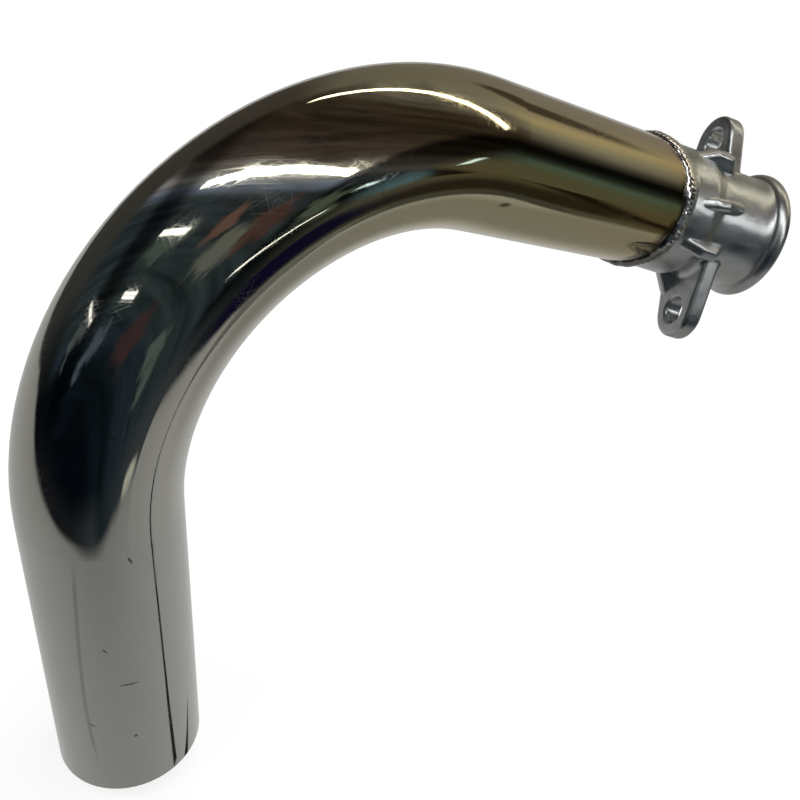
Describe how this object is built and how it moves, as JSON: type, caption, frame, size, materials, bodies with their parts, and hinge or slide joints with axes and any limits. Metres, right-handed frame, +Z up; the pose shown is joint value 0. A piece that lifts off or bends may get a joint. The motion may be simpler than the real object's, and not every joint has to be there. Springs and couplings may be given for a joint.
{
  "type": "exhaust header",
  "caption": "Motorcycle exhaust header: a polished thin-wall tube with a wide bend, welded to a cast port flange with stud ears, ribs, a spigot and a rolled mouth.",
  "frame": {"origin": "middle of the port mouth, on the port axis, in the plane of the rim's front face", "axes": "+X out of the mouth along the port axis towards the cylinder head, +Z up, +Y by the right hand; the tube leaves towards -X and -Y and its outlet points down"},
  "size_m": [0.2556, 0.1331, 0.2822],
  "materials": {
    "polished_tube": "mirror polished stainless steel, heat tinted straw gold towards the flange, fine hairline scratches",
    "cast_flange": "satin cast stainless steel with a turned spigot",
    "weld_metal": "bright rippled weld bead"
  },
  "bodies": {
    "root": {"header_tube": "polished_tube", "port_flange": "cast_flange", "flange_weld": "weld_metal"}
  },
  "joints": []
}
